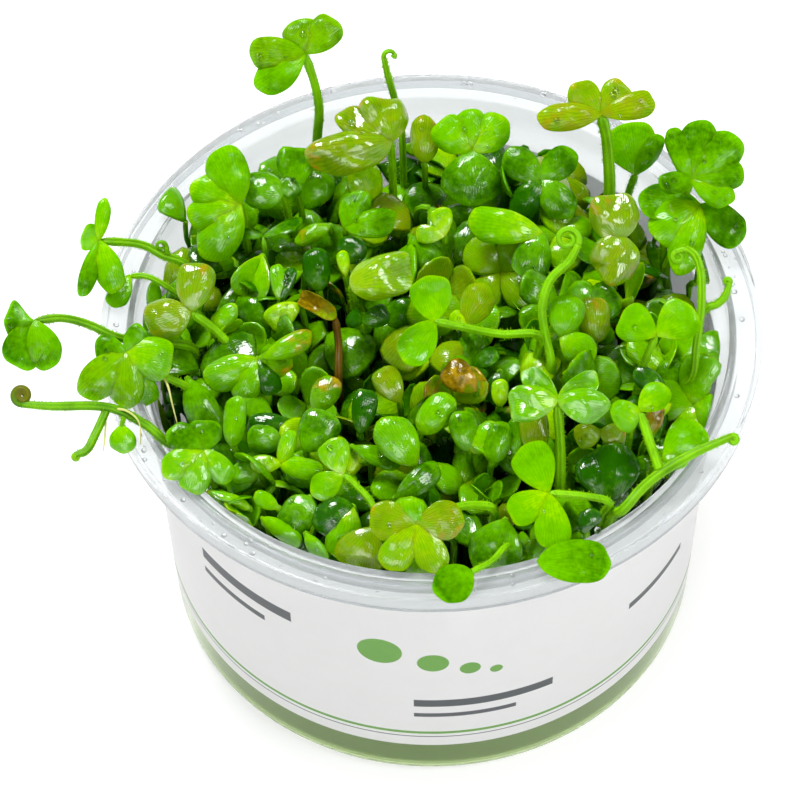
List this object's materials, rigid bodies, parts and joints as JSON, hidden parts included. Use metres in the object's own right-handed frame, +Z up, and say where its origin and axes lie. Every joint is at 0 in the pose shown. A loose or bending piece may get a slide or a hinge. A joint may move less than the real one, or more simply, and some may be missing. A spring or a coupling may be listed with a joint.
{
  "type": "tissue culture marsilea hirsuta",
  "caption": "Clear round tissue-culture tub with a flanged rim and a plain label, filled with clover-leaved Marsilea hirsuta that grows from nutrient gel.",
  "frame": {"origin": "centre of the tub's flat base, on its underside", "axes": "+Z up along the tub's axis; the picture is taken from the -Y side, with +X to its right"},
  "size_m": [0.114, 0.1016, 0.0839],
  "materials": {
    "clear_plastic": "gloss",
    "label_paper": "matte",
    "gel": "gloss",
    "crown_leaf": "gloss",
    "leaf": "gloss",
    "olive_leaf": "gloss",
    "stalk": "satin",
    "withered": "matte"
  },
  "bodies": {
    "root": {"clump_back": "crown_leaf", "clump_back_left": "crown_leaf", "clump_front": "crown_leaf", "clump_front_left": "crown_leaf", "clump_middle": "crown_leaf", "clump_right": "crown_leaf", "crozier_back": "stalk", "crozier_middle": "stalk", "crozier_right": "stalk", "crozier_small": "stalk", "gel": "gel", "label": "label_paper", "leaf_back_crown": "leaf", "leaf_back_dark": "leaf", "leaf_back_left_bulb": "leaf", "leaf_back_olive": "olive_leaf", "leaf_back_ripple": "olive_leaf", "leaf_back_round": "leaf", "leaf_front_clover": "leaf", "leaf_front_fan": "olive_leaf", "leaf_front_left_small": "leaf", "leaf_front_oval": "leaf", "leaf_front_round": "leaf", "leaf_left_clover": "leaf", "leaf_left_fan": "leaf", "leaf_left_folded": "leaf", "leaf_left_hanging": "leaf", "leaf_left_olive": "olive_leaf", "leaf_left_rim": "leaf", "leaf_left_under": "leaf", "leaf_left_upright": "leaf", "leaf_middle_bright": "leaf", "leaf_middle_drop": "leaf", "leaf_middle_glossy": "olive_leaf", "leaf_right_bright": "leaf", "leaf_right_lower": "leaf", "leaf_right_peanut": "olive_leaf", "leaf_right_runner": "leaf", "leaf_right_side": "leaf", "leaf_right_upper": "leaf", "leaf_tall": "leaf", "leaf_wet_pair": "leaf", "leaf_withered": "withered", "runner_left": "stalk", "runner_left_branch": "stalk", "runner_right": "stalk", "runner_right_branch": "stalk", "stalk_back_olive": "stalk", "stalk_front_clover": "stalk", "stalk_front_fan": "stalk", "stalk_left_clover": "stalk", "stalk_left_folded": "stalk", "stalk_left_olive": "stalk", "stalk_middle_bright": "stalk", "stalk_right_bright": "stalk", "stalk_right_upper": "stalk", "stalk_tall": "stalk", "stalk_wet_pair": "stalk", "stalk_withered": "withered", "tub": "clear_plastic"}
  },
  "joints": []
}
